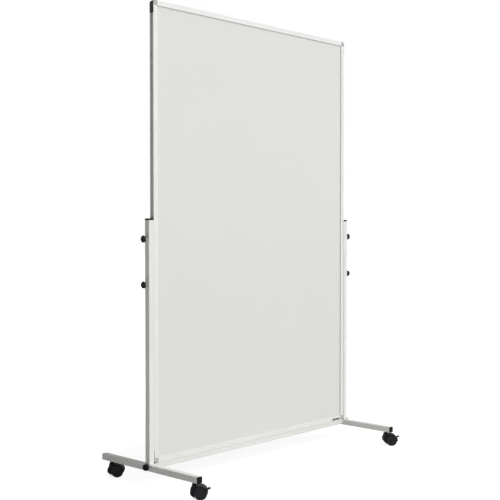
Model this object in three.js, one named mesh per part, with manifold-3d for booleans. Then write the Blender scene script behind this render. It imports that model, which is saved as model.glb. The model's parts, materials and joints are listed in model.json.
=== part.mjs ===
// A portrait whiteboard on a rolling stand.
//
// An enamelled steel panel sits in a grooved aluminium frame. The frame stands on a low
// cross-bar and is clamped between two T-shaped steel legs by knob screws and slot nuts,
// so it can be slid up and fixed higher. Four twin-wheel castors carry the legs.
//
// Millimetres. X runs along the board's width, the writing face looks along -Y and Z is up.
// The origin is on the floor, midway between the four castor stems.

import * as THREE from 'three';
import { mergeVertices } from 'three/addons/utils/BufferGeometryUtils.js';
import Module from 'manifold-3d';

const wasm = await Module();
wasm.setup();

// Board
const BOARD_WIDTH = 1200;
const BOARD_HEIGHT = 1800;
const FRAME_DEPTH = 22;
const FRAME_FACE = 21;
const SHEET = 0.5;
const CORE = 10;
const PANEL_FRONT = -7;
const PRESSED_EDGE = 0.1;
const PRESSED_EDGE_SHOWN = 0.5;
const PLATE_WIDTH = 60;
const PLATE_HEIGHT = 12;
const PLATE_THICKNESS = 0.6;
const PLATE_FROM_EDGE = 55;
const PLATE_FROM_BOTTOM = 3.5;

// Section of the frame extrusion, measured inward from its outer edge
const EDGE_CHAMFER = 0.8;
const LIP_CHAMFER = 3;
const LIP_CHAMFER_DEPTH = 1.4;
const REAR_RIM = 13.5;
const REAR_LEDGE = 6.3;
const FRONT_LINE = [7.9, 9.1];
const FRONT_LINE_DEPTH = 1;
const WALL = 1.4;
const SKIN = 1.6;
const GROOVE_MOUTH = 7.2;
const GROOVE_WIDTH = 12.4;
const GROOVE_FLOOR = 6.4;
const SPIGOT_SLOT = [7.8, 9.9];
const SPIGOT_SLOT_WIDTH = 14;
const PANEL_SLOT_FLOOR = 11.3;

// Corner mouldings
const CORNER_RADIUS = 15;
const CORNER_LEG = 50;
const CORNER_SKIN = 1.5;
const CORNER_ARC_STEPS = 6;

// Stand
const TUBE = 25;
const TUBE_WALL = 1.5;
const TUBE_RADIUS = 2.5;
const FOOT_LENGTH = 560;
const FOOT_BOTTOM = 63;
const POST_TOP = 1038;
const POST_CAP = 6.5;
const END_CAP = 3;
const CROSS_BAR = 20;
const CROSS_BAR_BOTTOM = 69;
const POST_SIDE_GAP = 1;
const WELD_RISE = 3;
const POST_CAP_PLUG = 15;
const END_CAP_PLUG = 12;
const CAP_BEVEL = 0.8;
const CROSS_BAR_PLUG = 30;
const BOSS_RADIUS = 8.5;
const BOSS_HEIGHT = 11;

// Knob screws
const POST_KNOB = { radius: 14.4, head: 6, neck: 14.3, hubRadii: [5.5, 5.5] };
const FOOT_KNOB = { radius: 13.2, head: 10, neck: 2.5, hubRadii: [6.5, 7.5] };
const KNOB_LOBES = 7;
const KNOB_BEVEL = 1;
const LOBE_DEPTH = 0.8;
const DISH_RADII = [7, 8];
const DISH_DEPTH = 1;
const POST_KNOB_HEIGHTS = [965, 788];
const POST_STUD_RADIUS = 3;
const FOOT_STUD_RADIUS = 4;
const WASHER_RADIUS = 12;
const WASHER = 1.5;
const SLOT_NUT_LENGTH = 20;

// Castors, each in its own frame: stem at the origin, wheels trailing along +X
const STEM_FROM_BAR_END = { front: 28, rear: 48 };
const WHEEL_RADIUS = 25;
const WHEEL_WIDTH = 15;
const WHEEL_SIDES = 20;
const HOOD_CLEARANCE = 1;
const HOOD_SKIN = 2;
const HOOD_ARC = { from: 104, to: -4, steps: 12 };
const LEVER_SLOT = { from: 40.5, to: 52, top: 41.2 };
const TRAIL = 22;
const WEB_WIDTH = 13.4;
const HOOD_WIDTH = 46;
const HOOD_TOP = 56;
const NECK_TOP = 60.7;
const AXLE_RADIUS = 3;
const STEM_RADIUS = 5;
const HEADING = -45;
const LEVER_PIVOT = [38.4, 36.5];
const LEVER_BARREL = 4;
const LEVER_ARM_WIDTH = 11;
const PEDAL_WIDTH = 24;
const AXLE_IN_WHEEL = 12;
const STEM_BOTTOM = 27.5;
const STEM_THREAD = 18;
const COLLAR_RADIUS = 9;
const TREAD_EDGE = 1.2;
const WHEEL_DISH = 2;
const WHEEL_DISH_RADII = [19.5, 20.5];

// Side outline of the castor housing, in X and Z: up the nose, and down the tail
const NOSE_OUTLINE = [
  [-5, 12], [-15.5, 22], [-17, 27], [-17, 33], [-13.5, 42], [-10.5, 48], [-9.5, 55],
  [-8.5, HOOD_TOP], [9, HOOD_TOP],
];
const TAIL_OUTLINE = [[47.6, 22], [37, 19], [30, 12.5], [22, 10.5], [6, 6]];
const NOSE_POCKET = [[-15, 0], [-15, 33], [-11, 42.5], [-8.5, 46], [6, 46], [6, 0]];
const NECK_PROFILE = [[0, 50], [9.5, 50], [9, NECK_TOP - 1], [8, NECK_TOP], [0, NECK_TOP]];

// Side outlines of the brake lever's arm and pedal, in X and Z from its pivot
const ARM_OUTLINE = [[0, -2], [9, 0.5], [12, 1], [12, 5], [8, 4], [0, 2]];
const PEDAL_OUTLINE = [[11, 1.2], [20, 2.4], [20.8, 3.6], [20.4, 5.2], [19.4, 6], [11.4, 5]];

// Between pieces that touch
const GAP = 0.3;

const STEM_Y = {
  front: STEM_FROM_BAR_END.front - FOOT_LENGTH / 2,
  rear: FOOT_LENGTH / 2 - STEM_FROM_BAR_END.rear,
};
const PANEL_THICKNESS = 2 * SHEET + CORE + 2 * GAP;
const PANEL_SLOT = [PANEL_FRONT - GAP, PANEL_FRONT + PANEL_THICKNESS + GAP];
const FOOT_TOP = FOOT_BOTTOM + TUBE;
const CROSS_BAR_AXIS = CROSS_BAR_BOTTOM + CROSS_BAR / 2;
const BOARD_BOTTOM = CROSS_BAR_BOTTOM + CROSS_BAR + GAP;
const BOARD_CENTRE = BOARD_BOTTOM + BOARD_HEIGHT / 2;
const POST_INNER_X = BOARD_WIDTH / 2 + POST_SIDE_GAP;
const POST_CENTRE_X = POST_INNER_X + TUBE / 2;

const FINISHES = {
  enamel: { color: '#dededc', roughness: 0.25, metalness: 0 },
  panelCore: { color: '#b49a74', roughness: 0.9, metalness: 0 },
  galvanised: { color: '#b9bcbe', roughness: 0.45, metalness: 0.8 },
  anodised: { color: '#d4d5d6', roughness: 0.4, metalness: 0.85 },
  greyPlastic: { color: '#8d8d8c', roughness: 0.55, metalness: 0 },
  label: { color: '#f0f0ee', roughness: 0.4, metalness: 0 },
  lacquer: { color: '#c9c8c0', roughness: 0.45, metalness: 0.2 },
  blackPlastic: { color: '#141414', roughness: 0.45, metalness: 0 },
  castorPlastic: { color: '#202024', roughness: 0.5, metalness: 0 },
  wheelPlastic: { color: '#2b2b30', roughness: 0.6, metalness: 0 },
  zinc: { color: '#c6c8ca', roughness: 0.35, metalness: 0.9 },
};

const whiteboard = new THREE.Group();

// ---- solids -------------------------------------------------------------

function solidOf(geometry) {
  const plain = geometry.clone();
  plain.deleteAttribute('normal');
  plain.deleteAttribute('uv');
  const merged = mergeVertices(plain, 1e-4);
  return new wasm.Manifold(new wasm.Mesh({
    numProp: 3,
    vertProperties: new Float32Array(merged.attributes.position.array),
    triVerts: new Uint32Array(merged.index.array),
  }));
}

function geometryOf(solid) {
  const mesh = solid.getMesh();
  const geometry = new THREE.BufferGeometry();
  geometry.setAttribute('position', new THREE.BufferAttribute(mesh.vertProperties, 3));
  geometry.setIndex(new THREE.BufferAttribute(mesh.triVerts, 1));
  const faceted = geometry.toNonIndexed();
  faceted.computeVertexNormals();
  return faceted;
}

function addPiece(parent, name, finish, solid) {
  const mesh = new THREE.Mesh(geometryOf(solid), new THREE.MeshStandardMaterial(FINISHES[finish]));
  mesh.name = name;
  parent.add(mesh);
  return mesh;
}

function box(x0, x1, y0, y1, z0, z1) {
  const geometry = new THREE.BoxGeometry(x1 - x0, y1 - y0, z1 - z0);
  geometry.translate((x0 + x1) / 2, (y0 + y1) / 2, (z0 + z1) / 2);
  return solidOf(geometry);
}

// A round bar along 'x', 'y' or 'z', from one coordinate to another on that axis.
function rod(axis, radius, from, to, centre = [0, 0, 0], sides = 14) {
  const geometry = new THREE.CylinderGeometry(radius, radius, to - from, sides);
  if (axis === 'x') geometry.rotateZ(Math.PI / 2);
  if (axis === 'z') geometry.rotateX(Math.PI / 2);
  const middle = { x: [1, 0, 0], y: [0, 1, 0], z: [0, 0, 1] }[axis];
  const offset = middle.map((unit, i) => centre[i] + unit * (from + to) / 2);
  geometry.translate(...offset);
  return solidOf(geometry);
}

function turned(profile, sides) {
  const points = profile.map(([radius, height]) => new THREE.Vector2(radius, height));
  const geometry = new THREE.LatheGeometry(points, sides);
  geometry.rotateX(Math.PI / 2);
  return solidOf(geometry);
}

function roundedSquare(size, radius) {
  const half = size / 2;
  const inner = half - radius;
  const shape = new THREE.Shape();
  shape.moveTo(half, -inner);
  shape.absarc(inner, inner, radius, 0, Math.PI / 2);
  shape.absarc(-inner, inner, radius, Math.PI / 2, Math.PI);
  shape.absarc(-inner, -inner, radius, Math.PI, Math.PI * 1.5);
  shape.absarc(inner, -inner, radius, Math.PI * 1.5, Math.PI * 2);
  return shape;
}

function extruded(shape, length, options = {}) {
  const settings = { depth: length, bevelEnabled: false, curveSegments: 2, ...options };
  return new THREE.ExtrudeGeometry(shape, settings);
}

// The shape, which the bevel widens on every side, as a slab from z = 0 to its thickness.
function bevelled(shape, thickness, bevel) {
  const bevels = { bevelEnabled: true, bevelThickness: bevel, bevelSize: bevel, bevelSegments: 1 };
  return solidOf(extruded(shape, thickness - 2 * bevel, bevels)).translate(0, 0, bevel);
}

// A square tube or bar along Z, centred on the axis, from z0 to z1.
function squareBar(size, radius, z0, z1) {
  return solidOf(extruded(roundedSquare(size, radius), z1 - z0)).translate(0, 0, z0);
}

function squareTube(size, z0, z1) {
  const bore = squareBar(size - 2 * TUBE_WALL, TUBE_RADIUS - TUBE_WALL, z0 - 1, z1 + 1);
  return squareBar(size, TUBE_RADIUS, z0, z1).subtract(bore);
}

// A side outline drawn in X and Z, given a thickness along Y about the middle plane.
function sidePlate(points, thickness) {
  const shape = new THREE.Shape(points.map(([x, z]) => new THREE.Vector2(x, z)));
  const geometry = extruded(shape, thickness);
  geometry.translate(0, 0, -thickness / 2);
  geometry.rotateX(Math.PI / 2);
  return solidOf(geometry);
}

function arcPoints(centre, radius, fromDegrees, toDegrees, steps) {
  const points = [];
  for (let i = 0; i <= steps; i += 1) {
    const angle = THREE.MathUtils.degToRad(fromDegrees + (toDegrees - fromDegrees) * i / steps);
    points.push([centre[0] + radius * Math.cos(angle), centre[1] + radius * Math.sin(angle)]);
  }
  return points;
}

// ---- board --------------------------------------------------------------

// The frame extrusion stands along Z with its outer edge on x = 0 and x running inward.
function frameExtrusion(length) {
  const half = length / 2;
  const front = -FRAME_DEPTH / 2;
  const rear = FRAME_DEPTH / 2;
  const along = (x0, x1, y0, y1) => box(x0, x1, y0, y1, -half - 1, half + 1);
  const outline = new THREE.Shape([
    [EDGE_CHAMFER, front], [FRAME_FACE - LIP_CHAMFER, front],
    [FRAME_FACE, front + LIP_CHAMFER_DEPTH], [FRAME_FACE, REAR_LEDGE],
    [REAR_RIM, REAR_LEDGE], [REAR_RIM, rear - EDGE_CHAMFER],
    [REAR_RIM - EDGE_CHAMFER, rear], [EDGE_CHAMFER, rear],
    [0, rear - EDGE_CHAMFER], [0, front + EDGE_CHAMFER],
  ].map(([x, y]) => new THREE.Vector2(x, y)));
  const body = solidOf(extruded(outline, length)).translate(0, 0, -half);

  const grooveMouth = along(-1, SKIN + 0.1, -GROOVE_MOUTH / 2, GROOVE_MOUTH / 2);
  const grooveChannel = along(SKIN, GROOVE_FLOOR, -GROOVE_WIDTH / 2, GROOVE_WIDTH / 2);
  const spigotSlot = along(...SPIGOT_SLOT, -SPIGOT_SLOT_WIDTH / 2, SPIGOT_SLOT_WIDTH / 2);
  const panelSlot = along(PANEL_SLOT_FLOOR, FRAME_FACE + 1, ...PANEL_SLOT);
  const frontLine = along(...FRONT_LINE, front - 1, front + FRONT_LINE_DEPTH);
  const frontHollow = along(SKIN, GROOVE_FLOOR, front + WALL, -GROOVE_WIDTH / 2 - WALL);
  const rearHollow = along(SKIN, GROOVE_FLOOR, GROOVE_WIDTH / 2 + WALL, rear - WALL);
  return [grooveMouth, grooveChannel, spigotSlot, panelSlot, frontLine, frontHollow, rearHollow]
    .reduce((rail, cut) => rail.subtract(cut), body);
}

// The upright rails are thinned at both ends, where the corner mouldings' legs lie flush.
function uprightRail(length) {
  const half = length / 2;
  const covered = CORNER_LEG - FRAME_FACE + GAP;
  const depth = FRAME_DEPTH / 2 + 1;
  const recess = CORNER_SKIN + GAP;
  return frameExtrusion(length)
    .subtract(box(-1, recess, -depth, depth, half - covered, half + 1))
    .subtract(box(-1, recess, -depth, depth, -half - 1, -half + covered));
}

function addFrame(board) {
  const sides = [
    { name: 'left', turn: 0, reach: BOARD_WIDTH / 2, run: BOARD_HEIGHT, make: uprightRail },
    { name: 'top', turn: 90, reach: BOARD_HEIGHT / 2, run: BOARD_WIDTH, make: frameExtrusion },
    { name: 'right', turn: 180, reach: BOARD_WIDTH / 2, run: BOARD_HEIGHT, make: uprightRail },
    { name: 'bottom', turn: -90, reach: BOARD_HEIGHT / 2, run: BOARD_WIDTH, make: frameExtrusion },
  ];
  for (const side of sides) {
    const holder = new THREE.Group();
    holder.rotation.y = THREE.MathUtils.degToRad(side.turn);
    board.add(holder);
    const length = side.run - 2 * (FRAME_FACE + GAP);
    const rail = addPiece(holder, `frame_${side.name}_rail`, 'anodised', side.make(length));
    rail.position.x = -side.reach;
  }
}

// One corner moulding. signX and signZ point from the board's corner towards its middle.
function cornerMoulding(signX, signZ) {
  const half = FRAME_DEPTH / 2;
  const boxFrom = (x0, x1, y0, y1, z0, z1) => box(
    Math.min(signX * x0, signX * x1), Math.max(signX * x0, signX * x1), y0, y1,
    Math.min(signZ * z0, signZ * z1), Math.max(signZ * z0, signZ * z1),
  );
  const arcCentre = [CORNER_RADIUS, CORNER_RADIUS];
  const rounded = arcPoints(arcCentre, CORNER_RADIUS, 180, 270, CORNER_ARC_STEPS);
  const outline = [...rounded, [FRAME_FACE, 0], [FRAME_FACE, FRAME_FACE], [0, FRAME_FACE]];
  const block = sidePlate(outline.map(([x, z]) => [signX * x, signZ * z]), FRAME_DEPTH);
  const sideLeg = boxFrom(0, CORNER_SKIN, -half, half, FRAME_FACE - 1, CORNER_LEG);
  const spigot = [SPIGOT_SLOT[0] + GAP, SPIGOT_SLOT[1] - GAP];
  const spigotHalf = SPIGOT_SLOT_WIDTH / 2 - 2 * GAP;
  const sideSpigot = boxFrom(...spigot, -spigotHalf, spigotHalf, FRAME_FACE - 1, CORNER_LEG);
  const crossSpigot = boxFrom(FRAME_FACE - 1, CORNER_LEG, -spigotHalf, spigotHalf, ...spigot);
  const panelNotch = boxFrom(
    PANEL_SLOT_FLOOR, FRAME_FACE + 1, ...PANEL_SLOT, PANEL_SLOT_FLOOR, FRAME_FACE + 1,
  );
  return block.add(sideLeg).add(sideSpigot).add(crossSpigot).subtract(panelNotch);
}

function addCorners(board) {
  for (const [sideName, signX] of [['left', 1], ['right', -1]]) {
    for (const [levelName, signZ] of [['top', -1], ['bottom', 1]]) {
      const name = `corner_${levelName}_${sideName}`;
      const corner = addPiece(board, name, 'greyPlastic', cornerMoulding(signX, signZ));
      corner.position.set(-signX * BOARD_WIDTH / 2, 0, -signZ * BOARD_HEIGHT / 2);
    }
  }
}

// A steel sheet. Its margin, inside the frame's slot, is pressed back a little from the outer
// face, which looks along -Y when outward is -1 and along +Y when it is 1.
function steelSheet(front, outward) {
  const shownHalfWidth = BOARD_WIDTH / 2 - FRAME_FACE - PRESSED_EDGE_SHOWN;
  const shownHalfHeight = BOARD_HEIGHT / 2 - FRAME_FACE - PRESSED_EDGE_SHOWN;
  const marginFront = outward < 0 ? front + PRESSED_EDGE : front;
  const margin = panelLayer(marginFront, SHEET - PRESSED_EDGE);
  const face = box(
    -shownHalfWidth, shownHalfWidth, front, front + SHEET, -shownHalfHeight, shownHalfHeight,
  );
  return margin.add(face);
}

function panelLayer(front, thickness) {
  const halfWidth = BOARD_WIDTH / 2 - PANEL_SLOT_FLOOR - GAP;
  const halfHeight = BOARD_HEIGHT / 2 - PANEL_SLOT_FLOOR - GAP;
  return box(-halfWidth, halfWidth, front, front + thickness, -halfHeight, halfHeight);
}

function addPanel(board) {
  const coreFront = PANEL_FRONT + SHEET + GAP;
  addPiece(board, 'front_sheet', 'enamel', steelSheet(PANEL_FRONT, -1));
  addPiece(board, 'panel_core', 'panelCore', panelLayer(coreFront, CORE));
  addPiece(board, 'rear_sheet', 'galvanised', steelSheet(coreFront + CORE + GAP, 1));
}

// A blank plate on the bottom rail, near its right end.
function addMakerPlate(board) {
  const half = PLATE_WIDTH / 2;
  const plate = addPiece(
    board, 'maker_plate', 'label', box(-half, half, -PLATE_THICKNESS, 0, 0, PLATE_HEIGHT),
  );
  plate.position.set(
    BOARD_WIDTH / 2 - PLATE_FROM_EDGE,
    -FRAME_DEPTH / 2 - GAP,
    -BOARD_HEIGHT / 2 + PLATE_FROM_BOTTOM,
  );
}

function addBoard() {
  const board = new THREE.Group();
  board.position.z = BOARD_CENTRE;
  whiteboard.add(board);
  addPanel(board);
  addFrame(board);
  addCorners(board);
  addMakerPlate(board);
}

// ---- stand --------------------------------------------------------------

// The post is welded on the foot bar: a low wedge of weld runs along its front and back.
function post() {
  const base = FOOT_TOP + GAP;
  const weldHalf = TUBE / 2 - TUBE_RADIUS;
  const weldTop = WELD_RISE + TUBE_WALL;
  const weldShape = new THREE.Shape([
    [TUBE / 2 + WELD_RISE, 0], [TUBE / 2 - TUBE_WALL / 2, weldTop],
    [-TUBE / 2 + TUBE_WALL / 2, weldTop], [-TUBE / 2 - WELD_RISE, 0],
  ].map(([y, z]) => new THREE.Vector2(y, z)));
  const weldGeometry = extruded(weldShape, 2 * weldHalf);
  weldGeometry.rotateX(Math.PI / 2);
  weldGeometry.rotateZ(Math.PI / 2);
  weldGeometry.translate(-weldHalf, 0, base);
  const bore = squareBar(TUBE - 2 * TUBE_WALL, TUBE_RADIUS - TUBE_WALL, base - 1, POST_TOP + 1);
  let solid = squareBar(TUBE, TUBE_RADIUS, base, POST_TOP).add(solidOf(weldGeometry)).subtract(bore);
  for (const height of POST_KNOB_HEIGHTS) {
    const hole = rod('x', POST_STUD_RADIUS + GAP, -TUBE, TUBE, [0, 0, height]);
    solid = solid.subtract(hole);
  }
  return solid;
}

// The foot bar lies along Y. Threaded bosses inside it take the castor stems.
function footBar() {
  const half = FOOT_LENGTH / 2 - END_CAP - GAP;
  const centre = FOOT_BOTTOM + TUBE / 2;
  let solid = squareTube(TUBE, -half, half).rotate(90, 0, 0).translate(0, 0, centre);
  for (const y of Object.values(STEM_Y)) {
    const bossBottom = FOOT_BOTTOM + TUBE_WALL / 2;
    const boss = rod('z', BOSS_RADIUS, bossBottom, FOOT_BOTTOM + BOSS_HEIGHT, [0, y, 0], 6);
    const holeTop = FOOT_BOTTOM + STEM_THREAD + 2;
    const hole = rod('z', STEM_RADIUS + GAP, FOOT_BOTTOM - 1, holeTop, [0, y, 0]);
    solid = solid.add(boss).subtract(hole);
  }
  return solid.subtract(
    rod('x', FOOT_STUD_RADIUS + GAP, -TUBE, TUBE, [0, 0, CROSS_BAR_AXIS]),
  );
}

// A push-in plastic cap: a lid with softened edges, and a plug that fills the tube's mouth.
function tubeCap(lidThickness, plugLength) {
  const lidShape = roundedSquare(TUBE - 2 * CAP_BEVEL, TUBE_RADIUS - CAP_BEVEL);
  const lid = bevelled(lidShape, lidThickness, CAP_BEVEL);
  const plugSize = TUBE - 2 * TUBE_WALL - 2 * GAP;
  return lid.add(squareBar(plugSize, TUBE_RADIUS - TUBE_WALL, -plugLength, lidThickness / 2));
}

// A star knob on its screw, along Z: the head is outermost and the stud points down from z = 0.
function starKnob({ radius, head, neck, hubRadii }, studRadius, studLength) {
  const outline = new THREE.Shape();
  const steps = KNOB_LOBES * 4;
  for (let i = 0; i < steps; i += 1) {
    const angle = 2 * Math.PI * i / steps;
    const lobe = LOBE_DEPTH * (Math.cos(KNOB_LOBES * angle) - 1);
    const reach = radius - KNOB_BEVEL + lobe;
    outline[i ? 'lineTo' : 'moveTo'](reach * Math.cos(angle), reach * Math.sin(angle));
  }
  const top = neck + head;
  const star = bevelled(outline, head, KNOB_BEVEL).translate(0, 0, neck);
  const hub = turned([[0, 0], [hubRadii[0], 0], [hubRadii[1], neck + 1], [0, neck + 1]], 14);
  const dish = turned([
    [0, top - DISH_DEPTH], [DISH_RADII[0], top - DISH_DEPTH],
    [DISH_RADII[1], top + 1], [0, top + 1],
  ], 14);
  return star.add(hub).subtract(dish).add(rod('z', studRadius, -studLength, 1));
}

function addKnob(leg, name, side, height, standOff, solid) {
  const knob = addPiece(leg, name, 'blackPlastic', solid);
  knob.rotation.y = side * Math.PI / 2;
  knob.position.set(side * (TUBE / 2 + standOff), 0, height);
}

function addPostFixings(leg, sideName, side) {
  const grooveFloorX = BOARD_WIDTH / 2 - GROOVE_FLOOR;
  const nutOuter = BOARD_WIDTH / 2 - SKIN - GAP;
  const nutInner = grooveFloorX + GAP;
  const nutHalfWidth = GROOVE_WIDTH / 2 - 2 * GAP;
  POST_KNOB_HEIGHTS.forEach((height, i) => {
    const level = ['upper', 'lower'][i];
    const studLength = POST_CENTRE_X + TUBE / 2 - nutInner - GAP;
    const knob = starKnob(POST_KNOB, POST_STUD_RADIUS, studLength);
    addKnob(leg, `${sideName}_${level}_post_knob`, side, height, GAP, knob);

    const nutHalfLength = SLOT_NUT_LENGTH / 2;
    const plate = box(nutInner, nutOuter, -nutHalfWidth, nutHalfWidth, -nutHalfLength, nutHalfLength)
      .subtract(rod('x', POST_STUD_RADIUS + GAP, nutInner - 1, nutOuter + 1));
    const nut = addPiece(leg, `${sideName}_${level}_slot_nut`, 'zinc', plate);
    nut.rotation.z = side > 0 ? 0 : Math.PI;
    nut.position.set(-side * POST_CENTRE_X, 0, height);
  });
}

function addFootFixings(leg, sideName, side) {
  const washerOuter = GAP + WASHER;
  const ring = rod('x', WASHER_RADIUS, GAP, washerOuter, [0, 0, 0], 20)
    .subtract(rod('x', FOOT_STUD_RADIUS + GAP, 0, washerOuter + 1));
  const washer = addPiece(leg, `${sideName}_foot_washer`, 'zinc', ring);
  washer.rotation.z = side > 0 ? 0 : Math.PI;
  washer.position.set(side * TUBE / 2, 0, CROSS_BAR_AXIS);

  const studLength = TUBE + CROSS_BAR_PLUG - 2;
  const knob = starKnob(FOOT_KNOB, FOOT_STUD_RADIUS, studLength);
  addKnob(leg, `${sideName}_foot_knob`, side, CROSS_BAR_AXIS, washerOuter + GAP, knob);
}

function addFootCaps(leg, sideName) {
  for (const [endName, end] of [['front', -1], ['rear', 1]]) {
    const solid = tubeCap(END_CAP, END_CAP_PLUG);
    const cap = addPiece(leg, `${sideName}_foot_${endName}_cap`, 'blackPlastic', solid);
    cap.rotation.x = -end * Math.PI / 2;
    cap.position.set(0, end * (FOOT_LENGTH / 2 - END_CAP), FOOT_BOTTOM + TUBE / 2);
  }
}

function addLeg(sideName, side) {
  const leg = new THREE.Group();
  leg.position.x = side * POST_CENTRE_X;
  whiteboard.add(leg);
  addPiece(leg, `${sideName}_post`, 'lacquer', post());
  addPiece(leg, `${sideName}_foot_bar`, 'lacquer', footBar());
  const capSolid = tubeCap(POST_CAP, POST_CAP_PLUG);
  const postCap = addPiece(leg, `${sideName}_post_cap`, 'blackPlastic', capSolid);
  postCap.position.z = POST_TOP + GAP;
  addFootCaps(leg, sideName);
  addPostFixings(leg, sideName, side);
  addFootFixings(leg, sideName, side);
}

// The cross-bar joins the two foot bars. Each end holds a threaded plug for the foot knob.
function addCrossBar() {
  const half = POST_INNER_X - GAP;
  const bar = new THREE.Group();
  bar.position.z = CROSS_BAR_AXIS;
  whiteboard.add(bar);
  addPiece(bar, 'cross_bar', 'lacquer', squareTube(CROSS_BAR, -half, half).rotate(0, 90, 0));
  for (const [sideName, side] of [['left', -1], ['right', 1]]) {
    const plugSize = CROSS_BAR - 2 * TUBE_WALL - 2 * GAP;
    const solid = squareBar(plugSize, TUBE_RADIUS - TUBE_WALL, -CROSS_BAR_PLUG, 0)
      .subtract(rod('z', FOOT_STUD_RADIUS + GAP, -CROSS_BAR_PLUG - 1, 1));
    const plug = addPiece(bar, `cross_bar_${sideName}_plug`, 'zinc', solid);
    plug.rotation.y = side * Math.PI / 2;
    plug.position.x = side * half;
  }
}

// ---- castors ------------------------------------------------------------

const AXLE = [TRAIL, WHEEL_RADIUS];

// The housing: a web between the wheels, a hood over and behind them, slotted for the lever,
// and a hollow nose before them.
function castorHousing() {
  const hoodRadius = WHEEL_RADIUS + HOOD_CLEARANCE + HOOD_SKIN;
  const hood = arcPoints(AXLE, hoodRadius, HOOD_ARC.from, HOOD_ARC.to, HOOD_ARC.steps);
  const outline = [...NOSE_OUTLINE, ...hood, ...TAIL_OUTLINE];
  const web = sidePlate(outline, HOOD_WIDTH);
  const wheelSpace = (side) => {
    const inner = side * WEB_WIDTH / 2;
    const outer = side * HOOD_WIDTH;
    const span = [Math.min(inner, outer), Math.max(inner, outer)];
    return rod('y', WHEEL_RADIUS + HOOD_CLEARANCE, ...span, [AXLE[0], 0, AXLE[1]], 32);
  };
  const nosePocket = (side) => {
    const inner = WEB_WIDTH / 2;
    const outer = HOOD_WIDTH / 2 - HOOD_SKIN;
    return sidePlate(NOSE_POCKET, outer - inner).translate(0, side * (inner + outer) / 2, 0);
  };
  const { from, to, top } = LEVER_SLOT;
  const leverSlot = box(from, to, -WEB_WIDTH / 2, WEB_WIDTH / 2, 0, top);
  const neck = turned(NECK_PROFILE, 16);
  let solid = web;
  for (const side of [-1, 1]) {
    solid = solid.subtract(wheelSpace(side)).subtract(nosePocket(side));
  }
  const pivot = [LEVER_PIVOT[0], 0, LEVER_PIVOT[1]];
  return solid.add(neck)
    .subtract(leverSlot)
    .subtract(rod('z', STEM_RADIUS - 1 + GAP, STEM_BOTTOM - GAP, NECK_TOP + 1))
    .subtract(rod('y', AXLE_RADIUS + GAP, -HOOD_WIDTH, HOOD_WIDTH, [AXLE[0], 0, AXLE[1]]))
    .subtract(rod('y', LEVER_BARREL + GAP, -HOOD_WIDTH, HOOD_WIDTH, pivot));
}

// The stem is screwed into the foot bar; the housing turns on its plain lower end.
function castorStem() {
  const collarBottom = NECK_TOP + GAP;
  const collarTop = FOOT_BOTTOM - GAP;
  const plainRadius = STEM_RADIUS - 1;
  const top = FOOT_BOTTOM + STEM_THREAD;
  return turned([
    [0, STEM_BOTTOM], [plainRadius - 0.5, STEM_BOTTOM], [plainRadius, STEM_BOTTOM + 1],
    [plainRadius, collarBottom], [COLLAR_RADIUS, collarBottom], [COLLAR_RADIUS, collarTop],
    [STEM_RADIUS, collarTop], [STEM_RADIUS, top - 1], [plainRadius, top], [0, top],
  ], 14);
}

// A wheel with a dished outer face and a blind bore, its inner face on z = 0. Its radius is
// measured to the middle of a facet, and it stands on a facet.
function castorWheel() {
  const rim = WHEEL_RADIUS / Math.cos(Math.PI / WHEEL_SIDES);
  const bore = AXLE_RADIUS + GAP;
  const wheel = turned([
    [0, AXLE_IN_WHEEL], [bore, AXLE_IN_WHEEL], [bore, 0], [rim - TREAD_EDGE, 0],
    [rim, TREAD_EDGE], [rim, WHEEL_WIDTH - TREAD_EDGE], [rim - TREAD_EDGE, WHEEL_WIDTH],
    [WHEEL_DISH_RADII[1], WHEEL_WIDTH], [WHEEL_DISH_RADII[0], WHEEL_WIDTH - WHEEL_DISH],
    [0, WHEEL_WIDTH - WHEEL_DISH],
  ], WHEEL_SIDES);
  return wheel.rotate(0, 0, 180 / WHEEL_SIDES);
}

// The brake lever: a barrel that snaps into the housing's web, an arm and a foot pedal.
function brakeLever() {
  const [x, z] = LEVER_PIVOT;
  const barrelHalf = WEB_WIDTH / 2 - GAP;
  const arm = sidePlate(ARM_OUTLINE, LEVER_ARM_WIDTH);
  const pedal = sidePlate(PEDAL_OUTLINE, PEDAL_WIDTH);
  return rod('y', LEVER_BARREL, -barrelHalf, barrelHalf).add(arm).add(pedal).translate(x, 0, z);
}

function addCastor(name, x, y, hasBrake) {
  const castor = new THREE.Group();
  castor.position.set(x, y, 0);
  castor.rotation.z = THREE.MathUtils.degToRad(HEADING);
  whiteboard.add(castor);
  addPiece(castor, `${name}_stem`, 'zinc', castorStem());
  addPiece(castor, `${name}_housing`, 'castorPlastic', castorHousing());
  const axleHalf = WEB_WIDTH / 2 + AXLE_IN_WHEEL;
  const axle = rod('y', AXLE_RADIUS, -axleHalf, axleHalf, [AXLE[0], 0, AXLE[1]]);
  addPiece(castor, `${name}_axle`, 'zinc', axle);
  for (const [wheelName, side] of [['wheel_1', -1], ['wheel_2', 1]]) {
    const wheel = addPiece(castor, `${name}_${wheelName}`, 'wheelPlastic', castorWheel());
    wheel.rotation.x = -side * Math.PI / 2;
    wheel.position.set(TRAIL, side * (WEB_WIDTH / 2 + GAP), WHEEL_RADIUS);
  }
  if (hasBrake) addPiece(castor, `${name}_brake_lever`, 'blackPlastic', brakeLever());
}

addBoard();
addLeg('left', -1);
addLeg('right', 1);
addCrossBar();
for (const [sideName, side] of [['left', -1], ['right', 1]]) {
  addCastor(`front_${sideName}_castor`, side * POST_CENTRE_X, STEM_Y.front, true);
  addCastor(`rear_${sideName}_castor`, side * POST_CENTRE_X, STEM_Y.rear, false);
}

export default whiteboard;
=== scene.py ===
"""The looks of a rolling whiteboard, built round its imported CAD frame.

Shapes are made in millimetres in the CAD's own frame and turned into metres as they are placed.
"""

import json
import math

import bmesh
import bpy
from mathutils import Matrix, Vector


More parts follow.
